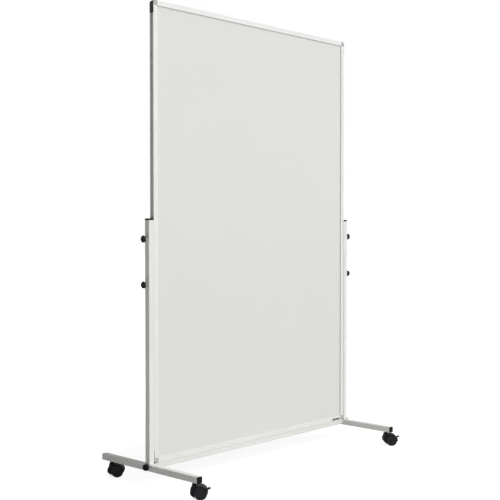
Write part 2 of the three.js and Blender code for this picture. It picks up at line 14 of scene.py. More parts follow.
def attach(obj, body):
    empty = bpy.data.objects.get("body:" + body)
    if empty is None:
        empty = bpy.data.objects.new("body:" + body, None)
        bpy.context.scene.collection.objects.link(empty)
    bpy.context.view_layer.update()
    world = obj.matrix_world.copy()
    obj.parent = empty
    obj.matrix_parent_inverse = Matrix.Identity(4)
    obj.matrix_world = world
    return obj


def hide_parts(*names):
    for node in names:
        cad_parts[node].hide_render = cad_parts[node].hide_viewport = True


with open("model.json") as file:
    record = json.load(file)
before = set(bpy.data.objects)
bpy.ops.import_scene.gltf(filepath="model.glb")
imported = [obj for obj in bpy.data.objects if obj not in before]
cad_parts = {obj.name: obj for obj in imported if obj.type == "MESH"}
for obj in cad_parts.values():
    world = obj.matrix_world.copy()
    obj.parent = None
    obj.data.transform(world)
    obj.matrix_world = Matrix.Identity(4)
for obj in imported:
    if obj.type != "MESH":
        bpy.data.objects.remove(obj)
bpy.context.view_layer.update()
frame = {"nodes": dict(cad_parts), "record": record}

# Board
BOARD_WIDTH = 1200
BOARD_HEIGHT = 1800
BOARD_BOTTOM = 89.3
FRAME_DEPTH = 22
FRAME_FACE = 21
CORNER_RADIUS = 15
CORNER_LEG = 50
CORNER_SKIN = 1.5
GAP = 0.3
PLATE_WIDTH = 60
PLATE_HEIGHT = 12
PLATE_THICKNESS = 0.6
PLATE_FROM_EDGE = 55
PLATE_FROM_BOTTOM = 3.5

# The row of dark blocks printed on the plate, in metres
BLOCKS = 5
BLOCK_PITCH = 0.0112
BLOCK_LENGTH = 0.0092
BLOCK_HEIGHT = 0.0094

# Stand
TUBE = 25
TUBE_WALL = 1.5
TUBE_RADIUS = 2.5
FOOT_LENGTH = 560
FOOT_BOTTOM = 63
POST_TOP = 1038
POST_CAP = 6.5
END_CAP = 3
POST_PLUG = 15
END_PLUG = 12
CAP_RIM = 1.1
CROSS_BAR = 20
CROSS_BAR_AXIS = 79
POST_CENTRE_X = 613.5
CROSS_BAR_HALF = 600.7

# Knobs: the thin heads on the posts stand off on zinc necks, the thick ones on the feet don't
POST_KNOB = {"radius": 14.4, "head": 6, "neck": 14.3}
FOOT_KNOB = {"radius": 13.2, "head": 10, "neck": 2.5}
NECK_RADIUS = 5.5
KNOB_UNDERSIDE = 8.2
KNOB_RIM = 1.5
KNOB_LOBES = 7
LOBE_DEPTH = 0.9
LOBE_SHARPNESS = 1.4
POST_KNOB_HEIGHTS = {"upper": 965, "lower": 788}
POST_STUD_RADIUS = 3
FOOT_STUD_RADIUS = 4
POST_STUD_LENGTH = 31.5
FOOT_STUD_LENGTH = 53
WASHER_RADIUS = 12
WASHER = 1.5

# Castors, each in its own frame: stem at the origin, wheels trailing along +X
STEM_Y = {"front": -252, "rear": 232}
HEADING = -45
WHEEL_RADIUS = 25
WHEEL_WIDTH = 15
TRAIL = 22
WEB_WIDTH = 13.4
HOOD_WIDTH = 46
HOOD_TOP = 56
HOOD_RADIUS = 28
HOOD_FROM = 104
HOOD_TO = -4
WALL = 2
WHEEL_SPACE_RADIUS = 26
NECK_FROM = 50
NECK_TOP = 60.7
AXLE_RADIUS = 3
STEM_RADIUS = 5
STEM_BOTTOM = 27.5
LEVER_PIVOT = (38.4, 36.5)
LEVER_BARREL = 4
LEVER_SLOT = {"from": 40.5, "to": 52, "top": 41.2}
ARM_WIDTH = 11
PEDAL_WIDTH = 24
PEDAL_GROOVES = (13, 14.7, 16.4, 18.1)

TO_METRES = Matrix.Scale(0.001, 4)
STRAIGHT = math.radians(89.5)
SHARP = math.radians(32)
SIDES = {"left": -1, "right": 1}
RANGE_SOCKETS = ("From Min", "From Max", "To Min", "To Max")

record = frame["record"]
body_of_node = {n: b for b, ns in record["behaviour"]["bodies"].items() for n in ns}
slot_of_node = {part["node"]: part["material_slot"] for part in record["subparts"]}


# ---- materials ----------------------------------------------------------


class Finish:
    """A node material: colour, roughness and bump are fields laid over the surface in metres."""

    def __init__(self, name, colour, roughness, metallic=0.0):
        self.material = bpy.data.materials.new(name)
        self.material.use_nodes = True
        self.material.diffuse_color = (*colour, 1)
        self.nodes = self.material.node_tree.nodes
        self.links = self.material.node_tree.links
        self.shader = self.nodes["Principled BSDF"]
        self.shader.inputs["Base Color"].default_value = (*colour, 1)
        self.shader.inputs["Roughness"].default_value = roughness
        self.shader.inputs["Metallic"].default_value = metallic
        self.coordinates = self.nodes.new("ShaderNodeTexCoord")
        self.place = self.coordinates.outputs["Object"]
        self.normal = None

    def stretched(self, stretch):
        mapping = self.nodes.new("ShaderNodeMapping")
        mapping.inputs["Scale"].default_value = stretch
        self.links.new(self.place, mapping.inputs["Vector"])
        return mapping.outputs["Vector"]

    def noise(self, per_metre, detail=3.0, stretch=(1, 1, 1), distortion=0.0):
        texture = self.nodes.new("ShaderNodeTexNoise")
        texture.inputs["Scale"].default_value = per_metre
        texture.inputs["Detail"].default_value = detail
        texture.inputs["Distortion"].default_value = distortion
        self.links.new(self.stretched(stretch), texture.inputs["Vector"])
        return texture.outputs["Fac"]

    def cells(self, per_metre, stretch=(1, 1, 1)):
        """A flat random value in each crystal of a galvanised coat."""
        texture = self.nodes.new("ShaderNodeTexVoronoi")
        texture.inputs["Scale"].default_value = per_metre
        self.links.new(self.stretched(stretch), texture.inputs["Vector"])
        split = self.nodes.new("ShaderNodeSeparateColor")
        self.links.new(texture.outputs["Color"], split.inputs["Color"])
        return split.outputs["Red"]

    def facing(self, axis):
        """How squarely the surface faces along an axis, either way."""
        split = self.nodes.new("ShaderNodeSeparateXYZ")
        self.links.new(self.coordinates.outputs["Normal"], split.inputs["Vector"])
        size = self.nodes.new("ShaderNodeMath")
        size.operation = "ABSOLUTE"
        self.links.new(split.outputs[axis], size.inputs[0])
        return size.outputs["Value"]

    def within(self, axis, low, high):
        """1 between two places along an axis, in metres, and 0 outside them."""
        split = self.nodes.new("ShaderNodeSeparateXYZ")
        self.links.new(self.place, split.inputs["Vector"])
        away = self.nodes.new("ShaderNodeMath")
        away.operation = "COMPARE"
        self.links.new(split.outputs[axis], away.inputs[0])
        away.inputs[1].default_value = (low + high) / 2
        away.inputs[2].default_value = (high - low) / 2
        return away.outputs["Value"]

    def ranged(self, field, source, target):
        node = self.nodes.new("ShaderNodeMapRange")
        for socket, value in zip(RANGE_SOCKETS, source + target):
            node.inputs[socket].default_value = value
        self.links.new(field, node.inputs["Value"])
        return node.outputs["Result"]

    def product(self, a, b):
        node = self.nodes.new("ShaderNodeMath")
        node.operation = "MULTIPLY"
        self.links.new(a, node.inputs[0])
        self.links.new(b, node.inputs[1])
        return node.outputs["Value"]

    def tint(self, field, colour, source=(0.35, 0.65)):
        """Blends the base colour towards another where the field is high."""
        mix = self.nodes.new("ShaderNodeMix")
        mix.data_type = "RGBA"
        base = self.shader.inputs["Base Color"]
        if base.is_linked:
            self.links.new(base.links[0].from_socket, mix.inputs["A"])
        else:
            mix.inputs["A"].default_value = base.default_value
        mix.inputs["B"].default_value = (*colour, 1)
        self.links.new(self.ranged(field, source, (0, 1)), mix.inputs["Factor"])
        self.links.new(mix.outputs["Result"], base)
        return self

    def rough(self, field, low, high, source=(0.3, 0.7)):
        self.links.new(self.ranged(field, source, (low, high)), self.shader.inputs["Roughness"])
        return self

    def bump(self, field, height):
        """Raises the surface by the field; height is in millimetres."""
        node = self.nodes.new("ShaderNodeBump")
        node.inputs["Distance"].default_value = height * 0.001
        self.links.new(field, node.inputs["Height"])
        if self.normal is not None:
            self.links.new(self.normal, node.inputs["Normal"])
        self.normal = node.outputs["Normal"]
        self.links.new(self.normal, self.shader.inputs["Normal"])
        return self

    def shine(self, level):
        self.shader.inputs["Specular IOR Level"].default_value = level

    def coat(self, weight, roughness):
        self.shader.inputs["Coat Weight"].default_value = weight
        self.shader.inputs["Coat Roughness"].default_value = roughness
        return self


def writing_enamel():
    """Smooth enamel with the faint haze that wiping leaves."""
    finish = Finish("writing_enamel", (0.655, 0.655, 0.642), 0.3)
    wiped = finish.noise(1.6, 3, (1.0, 1.0, 1.8))
    haze = finish.noise(5, 5, (2.0, 1.0, 1.0))
    finish.tint(wiped, (0.650, 0.651, 0.638))
    finish.rough(haze, 0.29, 0.33)
    finish.bump(finish.noise(240, 1), 0.003)
    return finish.coat(0.15, 0.2).material


def core_board():
    """Pressed fibre board."""
    finish = Finish("core_board", (0.45, 0.36, 0.24), 0.9)
    fibres = finish.noise(420, 6, (1.0, 1.0, 0.35))
    finish.tint(fibres, (0.30, 0.22, 0.13))
    finish.bump(fibres, 0.15)
    return finish.material


def galvanised_sheet():
    """Zinc spangle, clouded and slightly dulled."""
    finish = Finish("galvanised_sheet", (0.52, 0.53, 0.54), 0.4, 0.85)
    spangle = finish.cells(70, (1.0, 1.0, 0.8))
    finish.tint(spangle, (0.59, 0.60, 0.62), (0, 1))
    finish.tint(finish.noise(3, 4), (0.48, 0.49, 0.50))
    finish.rough(spangle, 0.40, 0.50, (0, 1))
    finish.bump(finish.noise(350, 3), 0.01)
    return finish.material


def anodised_aluminium(name, stretch):
    """Extruded aluminium, its die lines running along the rail."""
    finish = Finish(name, (0.745, 0.742, 0.726), 0.4, 0.12)
    lines = finish.noise(900, 3, stretch)
    clouds = finish.noise(14, 4)
    finish.tint(lines, (0.715, 0.713, 0.698))
    finish.tint(clouds, (0.76, 0.757, 0.741))
    finish.rough(lines, 0.34, 0.48)
    finish.bump(lines, 0.012)
    return finish.material


def grey_plastic():
    """Pale grey plastic, with painted shade darkening every face that doesn't face front or back.
    """
    finish = Finish("grey_plastic", (0.38, 0.38, 0.375), 0.5)
    finish.shine(0.3)
    grain = finish.noise(1600, 3)
    finish.tint(finish.noise(60, 4), (0.42, 0.42, 0.415))
    # painted shade: faces that don't look front or back are tinted near black, standing for the
    # shade on the mouldings' sides
    finish.tint(finish.facing("Y"), (0.08, 0.075, 0.075), (0.3, 0.12))
    finish.rough(finish.noise(220, 4), 0.42, 0.6)
    finish.bump(grain, 0.03)
    return finish.material


def plate_plastic():
    """White, with a printed row of plain dark blocks."""
    finish = Finish("plate_plastic", (0.86, 0.86, 0.87), 0.3)
    finish.tint(finish.noise(90, 4), (0.82, 0.82, 0.83))
    middle = (BOARD_WIDTH / 2 - PLATE_FROM_EDGE) * 0.001
    height = (BOARD_BOTTOM + PLATE_FROM_BOTTOM + PLATE_HEIGHT / 2) * 0.001
    row = finish.within("Z", height - BLOCK_HEIGHT / 2, height + BLOCK_HEIGHT / 2)
    for number in range(BLOCKS):
        start = middle + (number - BLOCKS / 2) * BLOCK_PITCH
        span = finish.within("X", start, start + BLOCK_LENGTH)
        finish.tint(finish.product(span, row), (0.012, 0.012, 0.014), (0, 1))
    finish.rough(finish.noise(240, 3), 0.22, 0.4)
    finish.bump(finish.noise(900, 2), 0.01)
    return finish.coat(0.3, 0.15).material


def stand_lacquer():
    """Powder coat: fine orange peel, with faint cloudiness."""
    finish = Finish("stand_lacquer", (0.725, 0.720, 0.690), 0.42)
    peel = finish.noise(520, 2)
    finish.tint(finish.noise(7, 4), (0.695, 0.690, 0.660))
    finish.rough(finish.noise(70, 4), 0.34, 0.5)
    finish.bump(peel, 0.045)
    return finish.coat(0.12, 0.3).material


def black_plastic(name, level, shine):
    """Fine grained plastic, its grey given as one level."""
    finish = Finish(name, (level, level, level * 1.1), 0.45)
    finish.shine(shine)
    grain = finish.noise(1900, 3)
    finish.tint(finish.noise(150, 5), (level * 1.6, level * 1.6, level * 1.7))
    finish.rough(finish.noise(300, 4), 0.36, 0.58)
    finish.bump(grain, 0.035)
    return finish.material


def castor_plastic():
    """Moulded nylon with upright scuffs."""
    finish = Finish("castor_plastic", (0.008, 0.008, 0.010), 0.5)
    finish.shine(0.15)
    scuffs = finish.noise(130, 6, (1.0, 1.0, 2.5), 0.8)
    finish.tint(scuffs, (0.015, 0.015, 0.018), (0.5, 0.75))
    finish.rough(scuffs, 0.45, 0.65)
    finish.bump(finish.noise(1500, 3), 0.03)
    return finish.material


def wheel_plastic():
    """Hard plastic, greyer where it is scuffed."""
    finish = Finish("wheel_plastic", (0.014, 0.014, 0.018), 0.5)
    finish.shine(0.26)
    scuffs = finish.noise(210, 6, (1, 1, 1), 1.0)
    finish.tint(scuffs, (0.030, 0.029, 0.031), (0.48, 0.78))
    finish.rough(scuffs, 0.42, 0.72)
    finish.bump(finish.noise(1300, 4), 0.03)
    return finish.material


def zinc_steel():
    """Bright zinc plating, unevenly polished."""
    finish = Finish("zinc_steel", (0.62, 0.63, 0.66), 0.32, 1.0)
    finish.tint(finish.noise(120, 4), (0.54, 0.55, 0.57))
    finish.rough(finish.noise(420, 4), 0.22, 0.42)
    finish.bump(finish.noise(800, 3), 0.02)
    return finish.material


# Stretches that lay the die lines along an upright and along a level rail
UPRIGHT_LINES = (1.0, 1.0, 0.006)
LEVEL_LINES = (0.006, 1.0, 1.0)

finishes = {
    "writing_enamel": writing_enamel(),
    "core_board": core_board(),
    "galvanised_sheet": galvanised_sheet(),
    "anodised_aluminium": anodised_aluminium("anodised_upright", UPRIGHT_LINES),
    "grey_plastic": grey_plastic(),
    "plate_plastic": plate_plastic(),
    "stand_lacquer": stand_lacquer(),
    "black_plastic": black_plastic("black_plastic", 0.004, 0.12),
    "castor_plastic": castor_plastic(),
    "wheel_plastic": wheel_plastic(),
    "zinc_steel": zinc_steel(),
}
anodised_level = anodised_aluminium("anodised_level", LEVEL_LINES)
knob_plastic = black_plastic("knob_plastic", 0.022, 0.25)


# ---- shapes -------------------------------------------------------------


def fillet(points, radius, steps=4):
    """A closed outline with rounded corners. radius is one number, or one for each point."""
    rounded = []
    for i, point in enumerate(points):
        size = radius if isinstance(radius, (int, float)) else radius[i]
        here = Vector(point)
        back = Vector(points[i - 1]) - here
        ahead = Vector(points[(i + 1) % len(points)]) - here
        half = back.angle(ahead) / 2
        if size <= 0 or half > STRAIGHT:
            rounded.append(tuple(here))
            continue
        reach = min(size / math.tan(half), 0.48 * back.length, 0.48 * ahead.length)
        size = reach * math.tan(half)
        bisector = (back.normalized() + ahead.normalized()).normalized()
        centre = here + bisector * size / math.sin(half)
        start = here + back.normalized() * reach - centre
        end = here + ahead.normalized() * reach - centre
        sweep = start.angle_signed(end)
        for k in range(steps + 1):
            turned = Matrix.Rotation(-sweep * k / steps, 2) @ start
            rounded.append(tuple(centre + turned))
    return rounded


def drawn(section, steps):
    """The outline of a section whose points each carry their corner's radius."""
    return fillet([point[:2] for point in section], [point[2] for point in section], steps)


def square(size, radius, steps=6):
    half = size / 2
    corners = [(-half, -half), (half, -half), (half, half), (-half, half)]
    return fillet(corners, radius, steps)


def arc(centre, radius, from_degrees, to_degrees, steps):
    angles = [
        math.radians(from_degrees + (to_degrees - from_degrees) * k / steps)
        for k in range(steps + 1)
    ]
    return [(centre[0] + radius * math.cos(a), centre[1] + radius * math.sin(a)) for a in angles]


def skin(bm, rings, closed=False):
    """Joins rings of points, all of one length, and caps the first and the last."""
    made = [[bm.verts.new(point) for point in ring] for ring in rings]
    pairs = list(zip(made, made[1:]))
    if closed:
        pairs.append((made[-1], made[0]))
    for low, high in pairs:
        for i in range(len(low)):
            bm.faces.new((low[i - 1], low[i], high[i], high[i - 1]))
    if not closed:
        bm.faces.new(list(reversed(made[0])))
        bm.faces.new(made[-1])


def mesh_from(bm, name="shape"):
    bmesh.ops.recalc_face_normals(bm, faces=bm.faces)
    mesh = bpy.data.meshes.new(name)
    bm.to_mesh(mesh)
    bm.free()
    return mesh


def lofted(rings, closed=False):
    bm = bmesh.new()
    skin(bm, rings, closed)
    return mesh_from(bm)


def squares(sections, closed=False):
    """A bar along Z through rounded squares, each given as its size, corner radius and height."""
    return lofted([
        [(x, y, height) for x, y in square(size, radius)] for size, radius, height in sections
    ], closed)


def circle(radius, height, sides):
    turn = 2 * math.pi / sides
    return [
        (radius * math.cos(i * turn), radius * math.sin(i * turn), height) for i in range(sides)
    ]


def turned(profile, sides=64, closed=False):
    """A round body about Z through circles, each given as its radius and height."""
    return lofted([circle(radius, height, sides) for radius, height in profile], closed)


def slab(outline, low, high, edge=0.0, steps=3):
    """The outline raised from low to high along Z, with both rims rounded."""
    bm = bmesh.new()
    skin(bm, [[(x, y, z) for x, y in outline] for z in (low, high)])
    if edge:
        bm.normal_update()
        ends = [face for face in bm.faces if abs(face.normal.z) > 0.9]
        rims = list({e for face in ends for e in face.edges})
        bmesh.ops.bevel(
            bm, geom=rims, offset=edge, segments=steps, profile=0.5, affect="EDGES",
            clamp_overlap=True,
        )
    return mesh_from(bm)


def side_slab(outline, thickness, edge=0.0):
    """An outline drawn in X and Z, given a thickness about the plane Y = 0."""
    mesh = slab(outline, -thickness / 2, thickness / 2, edge)
    mesh.transform(Matrix.Rotation(math.pi / 2, 4, "X"))
    return mesh


def bar(axis, radius, low, high, centre=(0, 0, 0), sides=48):
    """A plain round bar along one axis, for holes and pins."""
    mesh = turned([(radius, low), (radius, high)], sides)
    turn = {"x": ("Y", math.pi / 2), "y": ("X", -math.pi / 2), "z": ("Z", 0)}[axis]
    mesh.transform(Matrix.Translation(centre) @ Matrix.Rotation(turn[1], 4, turn[0]))
    return mesh


def block(x0, x1, y0, y1, z0, z1):
    return slab([(x0, y0), (x1, y0), (x1, y1), (x0, y1)], z0, z1)


def combined(mesh, operation, tools):
    """The mesh with each tool cut from it or added to it."""
    target = bpy.data.objects.new("target", mesh)
    bpy.context.scene.collection.objects.link(target)
    made = [target]
    for tool in tools:
        cutter = bpy.data.objects.new("tool", tool)
        bpy.context.scene.collection.objects.link(cutter)
        made.append(cutter)
        modifier = target.modifiers.new("shape", "BOOLEAN")
        modifier.operation = operation
        modifier.solver = "EXACT"
        modifier.object = cutter
    bpy.context.view_layer.update()
    graph = bpy.context.evaluated_depsgraph_get()
    result = bpy.data.meshes.new_from_object(target.evaluated_get(graph))
    for obj in made:
        data = obj.data
        bpy.data.objects.remove(obj)
        bpy.data.meshes.remove(data)
    return result


def cut(mesh, *tools):
    return combined(mesh, "DIFFERENCE", tools)


def add(mesh, *tools):
    return combined(mesh, "UNION", tools)


def softened(mesh, width, angle=35, segments=2):
    """Breaks every edge sharper than the angle with a small round."""
    obj = bpy.data.objects.new("soft", mesh)
    bpy.context.scene.collection.objects.link(obj)
    modifier = obj.modifiers.new("edges", "BEVEL")
    modifier.width = width
    modifier.segments = segments
    modifier.limit_method = "ANGLE"
    modifier.angle_limit = math.radians(angle)
    modifier.use_clamp_overlap = True
    bpy.context.view_layer.update()
    graph = bpy.context.evaluated_depsgraph_get()
    result = bpy.data.meshes.new_from_object(obj.evaluated_get(graph))
    bpy.data.objects.remove(obj)
    bpy.data.meshes.remove(mesh)
    return result


def place(node, mesh, where=Matrix.Identity(4), finish=None, kind="form", slot=None):
    """Puts a copy of the mesh where the CAD node is, on its body and in its finish."""
    slot = slot or slot_of_node[node]
    data = mesh.copy()
    data.name = f"{node}_{kind}"
    data.transform(TO_METRES @ where)
    if where.determinant() < 0:
        data.flip_normals()
    data.shade_smooth()
    data.set_sharp_from_angle(angle=SHARP)
    data.materials.clear()
    data.materials.append(finish or finishes[slot])
    obj = bpy.data.objects.new(data.name, data)
    bpy.context.scene.collection.objects.link(obj)
    weighted = obj.modifiers.new("shading", "WEIGHTED_NORMAL")
    weighted.keep_sharp = True
    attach(obj, body_of_node[node])
    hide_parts(node)


def keep(node):
    """Shows a CAD node as it is, in its own finish."""
    obj = frame["nodes"][node]
    obj.data.materials.clear()
    obj.data.materials.append(finishes[slot_of_node[node]])


def shift(x=0.0, y=0.0, z=0.0):
    return Matrix.Translation((x, y, z))


def spin(degrees, axis):
    return Matrix.Rotation(math.radians(degrees), 4, axis)


# ---- board --------------------------------------------------------------

BOARD_CENTRE = BOARD_BOTTOM + BOARD_HEIGHT / 2
RAIL_END = FRAME_FACE + GAP

# Section of the frame extrusion: X inward from its outer edge, Y towards the rear, and the
# radius of each corner
RAIL_SECTION = [
    (0, -11, 1.0), (7.6, -11, 0.2), (7.8, -10.4, 0.1), (9.2, -10.4, 0.1), (9.4, -11, 0.2),
    (21, -11, 0.8), (21, -7.3, 0.2), (11.3, -7.3, 0.1), (11.3, 4.9, 0.1),
    (21, 4.9, 0.2), (21, 6.3, 0.3), (13.5, 6.3, 0.3), (13.5, 11, 0.8), (0, 11, 1.0),
    (0, 3.6, 0.3), (1.6, 3.6, 0.1), (1.6, 6.2, 0.2), (6.4, 6.2, 0.4), (6.4, -6.2, 0.4),
    (1.6, -6.2, 0.2), (1.6, -3.6, 0.1), (0, -3.6, 0.3),
]


def rail(length, recessed):
    """The extrusion along Z. The uprights are thinned where the corners' legs lie flush."""
    half = length / 2
    mesh = slab(drawn(RAIL_SECTION, 3), -half, half)
    if not recessed:
        return mesh
    depth = CORNER_SKIN + GAP
    covered = CORNER_LEG - FRAME_FACE + GAP
    sides = (-2, depth, -FRAME_DEPTH, FRAME_DEPTH)
    upper = block(*sides, half - covered, half + 2)
    lower = block(*sides, -half - 2, covered - half)
    return cut(mesh, upper, lower)


def add_frame():
    upright = rail(BOARD_HEIGHT - 2 * RAIL_END, True)
    level = rail(BOARD_WIDTH - 2 * RAIL_END, False)
    rails = [
        ("left", 0, BOARD_WIDTH, upright, None),
        ("top", 90, BOARD_HEIGHT, level, anodised_level),
        ("right", 180, BOARD_WIDTH, upright, None),
        ("bottom", -90, BOARD_HEIGHT, level, anodised_level),
    ]
    for name, degrees, across, mesh, finish in rails:
        where = shift(z=BOARD_CENTRE) @ spin(degrees, "Y") @ shift(-across / 2)
        place(f"frame_{name}_rail", mesh, where, finish)


def corner():
    """The top left moulding, its outer corner at the origin: X inward and Z downward."""
    outline = drawn([
        (0, -CORNER_LEG, 0.6), (CORNER_SKIN, -CORNER_LEG, 0.6), (CORNER_SKIN, -FRAME_FACE, 0.3),
        (FRAME_FACE, -FRAME_FACE, 0.6), (FRAME_FACE, 0, 0.6),
    ], 3)
    outline += arc((CORNER_RADIUS, -CORNER_RADIUS), CORNER_RADIUS, 90, 180, 16)
    return side_slab(outline, FRAME_DEPTH, 0.55)


def add_corners():
    mesh = corner()
    for side, sign in SIDES.items():
        for level, up in (("top", 1), ("bottom", -1)):
            flip = Matrix.Diagonal((-sign, 1, up, 1))
            reach = up * BOARD_HEIGHT / 2
            where = shift(sign * BOARD_WIDTH / 2, 0, BOARD_CENTRE + reach) @ flip
            place(f"corner_{level}_{side}", mesh, where)


def add_plate():
    half = PLATE_WIDTH / 2
    corners = [(-half, 0), (half, 0), (half, PLATE_HEIGHT), (-half, PLATE_HEIGHT)]
    mesh = side_slab(fillet(corners, 1.6, 5), PLATE_THICKNESS, 0.18)
    y = -FRAME_DEPTH / 2 - GAP - PLATE_THICKNESS / 2
    x = BOARD_WIDTH / 2 - PLATE_FROM_EDGE
    place("maker_plate", mesh, shift(x, y, BOARD_BOTTOM + PLATE_FROM_BOTTOM))


def add_board():
    add_frame()
    add_corners()
    add_plate()
    for node in ("front_sheet", "panel_core", "rear_sheet"):
        keep(node)


# ---- stand --------------------------------------------------------------


def tube(size, low, high):
    """A square tube along Z, open at both ends, as one closed skin."""
    bore = size - 2 * TUBE_WALL
    bore_radius = TUBE_RADIUS - TUBE_WALL
    return squares([
        (size - 0.4, TUBE_RADIUS, low), (size, TUBE_RADIUS, low + 0.2),
        (size, TUBE_RADIUS, high - 0.2), (size - 0.4, TUBE_RADIUS, high),
        (bore, bore_radius, high), (bore, bore_radius, low),
    ], closed=True)


def weld_bead(length, radius):
    """A bead of weld along X: overlapping ripples that shrink at both ends."""
    steps = 44
    sides = 12
    rings = []
    for i in range(steps + 1):
        along = i / steps
        taper = math.sin(math.pi * min(max(along, 0.015), 0.985)) ** 0.3
        ripple = 1 + 0.09 * math.sin(along * 2 * math.pi * 8)
        size = radius * taper * ripple
        x = (along - 0.5) * length
        rings.append([
            (x, size * math.cos(2 * math.pi * k / sides), size * math.sin(2 * math.pi * k / sides))
            for k in range(sides)
        ])
    return lofted(rings)


def post():
    base = FOOT_BOTTOM + TUBE + GAP
    holes = [
        bar("x", POST_STUD_RADIUS + GAP, -TUBE, TUBE, (0, 0, height))
        for height in POST_KNOB_HEIGHTS.values()
    ]
    mesh = cut(tube(TUBE, base, POST_TOP), *holes)
    for side in (-1, 1):
        bead = weld_bead(TUBE - 2 * TUBE_RADIUS + 1, 2.0)
        bead.transform(shift(0, side * (TUBE / 2 + 0.2), base + 1.9))
        mesh = add(mesh, bead)
    return mesh


def foot_bar():
    half = FOOT_LENGTH / 2 - END_CAP - GAP
    centre = FOOT_BOTTOM + TUBE / 2
    mesh = tube(TUBE, -half, half)
    mesh.transform(shift(z=centre) @ spin(90, "X"))
    holes = [bar("x", FOOT_STUD_RADIUS + GAP, -TUBE, TUBE, (0, 0, CROSS_BAR_AXIS))]
    for y in STEM_Y.values():
        holes.append(bar("z", STEM_RADIUS + GAP, FOOT_BOTTOM - 2, FOOT_BOTTOM + 5, (0, y, 0)))
    return cut(mesh, *holes)


def cap(lid, plug):
    """A push-in cap: its lid from z = 0 up with a soft rim, and its plug below, narrowed at its
    foot.
    """
    mouth = TUBE - 2 * TUBE_WALL - 2 * GAP
    inner = TUBE_RADIUS - TUBE_WALL
    sections = [(mouth - 1.6, inner, -plug), (mouth, inner, 1 - plug), (mouth, inner, 0)]
    sections += [(TUBE - 0.3, TUBE_RADIUS, 0), (TUBE, TUBE_RADIUS, 0.15)]
    steps = 5
    for k in range(steps + 1):
        angle = math.radians(90 * k / steps)
        inset = CAP_RIM * (1 - math.cos(angle))
        height = lid - CAP_RIM * (1 - math.sin(angle))
        sections.append((TUBE - 2 * inset, TUBE_RADIUS, height))
    return squares(sections)


def lobed(radius, depth, height, sides=KNOB_LOBES * 16):
    """A circle drawn in by the depth between the knob's lobes."""
    points = []
    for i in range(sides):
        angle = 2 * math.pi * i / sides
        swing = (1 - math.cos(KNOB_LOBES * angle)) / 2
        reach = radius - 2 * depth * swing ** LOBE_SHARPNESS
        points.append((reach * math.cos(angle), reach * math.sin(angle), height))
    return points


def knob(shape, under):
    """A star head along Z, made on from the circles under it, with a shallow dish in its top."""
    bottom = shape["neck"]
    top = bottom + shape["head"]
    rings = [lobed(radius, 0, height) for radius, height in under]
    under_steps, over_steps = 5, 6
    for k in range(under_steps + 1):
        angle = math.radians(90 * k / under_steps)
        reach = shape["radius"] - KNOB_RIM * (1 - math.sin(angle))
        rings.append(lobed(reach, LOBE_DEPTH, bottom + KNOB_RIM * (1 - math.cos(angle))))
    for k in range(over_steps + 1):
        angle = math.radians(90 * k / over_steps)
        reach = shape["radius"] - KNOB_RIM * (1 - math.cos(angle))
        rings.append(lobed(reach, LOBE_DEPTH, top - KNOB_RIM * (1 - math.sin(angle))))
    rings += [
        lobed(8.6, 0, top), lobed(8.2, 0, top - 0.15), lobed(7.7, 0, top - 0.9),
        lobed(7.2, 0, top - 1.05), lobed(3.2, 0, top - 1.05), lobed(2.9, 0, top - 0.7),
        lobed(2.3, 0, top - 0.6),
    ]
    return lofted(rings)


def foot_knob():
    """The head with a short hub and its moulded-in stud."""
    neck, stud = FOOT_KNOB["neck"], FOOT_STUD_RADIUS
    return knob(FOOT_KNOB, [
        (stud - 0.6, -FOOT_STUD_LENGTH), (stud, 0.6 - FOOT_STUD_LENGTH), (stud, 0), (6.3, 0),
        (6.5, 0.2), (7.4, neck - 0.3), (KNOB_UNDERSIDE, neck),
    ])


def post_screw():
    """A zinc stud with the collar that holds the knob's head off the post."""
    neck, stud = POST_KNOB["neck"], POST_STUD_RADIUS
    return turned([
        (stud - 0.6, -POST_STUD_LENGTH), (stud, 0.6 - POST_STUD_LENGTH), (stud, 0),
        (NECK_RADIUS - 0.3, 0), (NECK_RADIUS, 0.3), (NECK_RADIUS, neck - 0.3),
        (NECK_RADIUS - 0.3, neck),
    ])


def add_leg(side, sign):
    middle = shift(sign * POST_CENTRE_X)
    outward = spin(90 * sign, "Y")
    place(f"{side}_post", shapes["post"], middle)
    place(f"{side}_foot_bar", shapes["foot_bar"], middle)
    place(f"{side}_post_cap", shapes["post_cap"], middle @ shift(z=POST_TOP + GAP))
    for end, along in (("front", -1), ("rear", 1)):
        spot = shift(0, along * (FOOT_LENGTH / 2 - END_CAP), FOOT_BOTTOM + TUBE / 2)
        turn = spin(-90 * along, "X")
        place(f"{side}_foot_{end}_cap", shapes["foot_cap"], middle @ spot @ turn)
    for level, height in POST_KNOB_HEIGHTS.items():
        node = f"{side}_{level}_post_knob"
        where = middle @ shift(sign * (TUBE / 2 + GAP), 0, height) @ outward
        place(node, shapes["post_knob"], where, knob_plastic)
        place(node, shapes["post_screw"], where, kind="screw", slot="zinc_steel")
        keep(f"{side}_{level}_slot_nut")
    spot = shift(sign * (TUBE / 2 + GAP), 0, CROSS_BAR_AXIS)
    place(f"{side}_foot_washer", shapes["washer"], middle @ spot @ outward)
    spot = shift(sign * (TUBE / 2 + 2 * GAP + WASHER), 0, CROSS_BAR_AXIS)
    place(f"{side}_foot_knob", shapes["foot_knob"], middle @ spot @ outward)


def washer():
    """A flat ring on z = 0, its edges broken."""
    bore = FOOT_STUD_RADIUS + GAP
    return turned([
        (bore, 0.15), (bore + 0.15, 0), (WASHER_RADIUS - 0.3, 0), (WASHER_RADIUS, 0.3),
        (WASHER_RADIUS, WASHER - 0.3), (WASHER_RADIUS - 0.3, WASHER), (bore + 0.15, WASHER),
        (bore, WASHER - 0.15),
    ], closed=True)


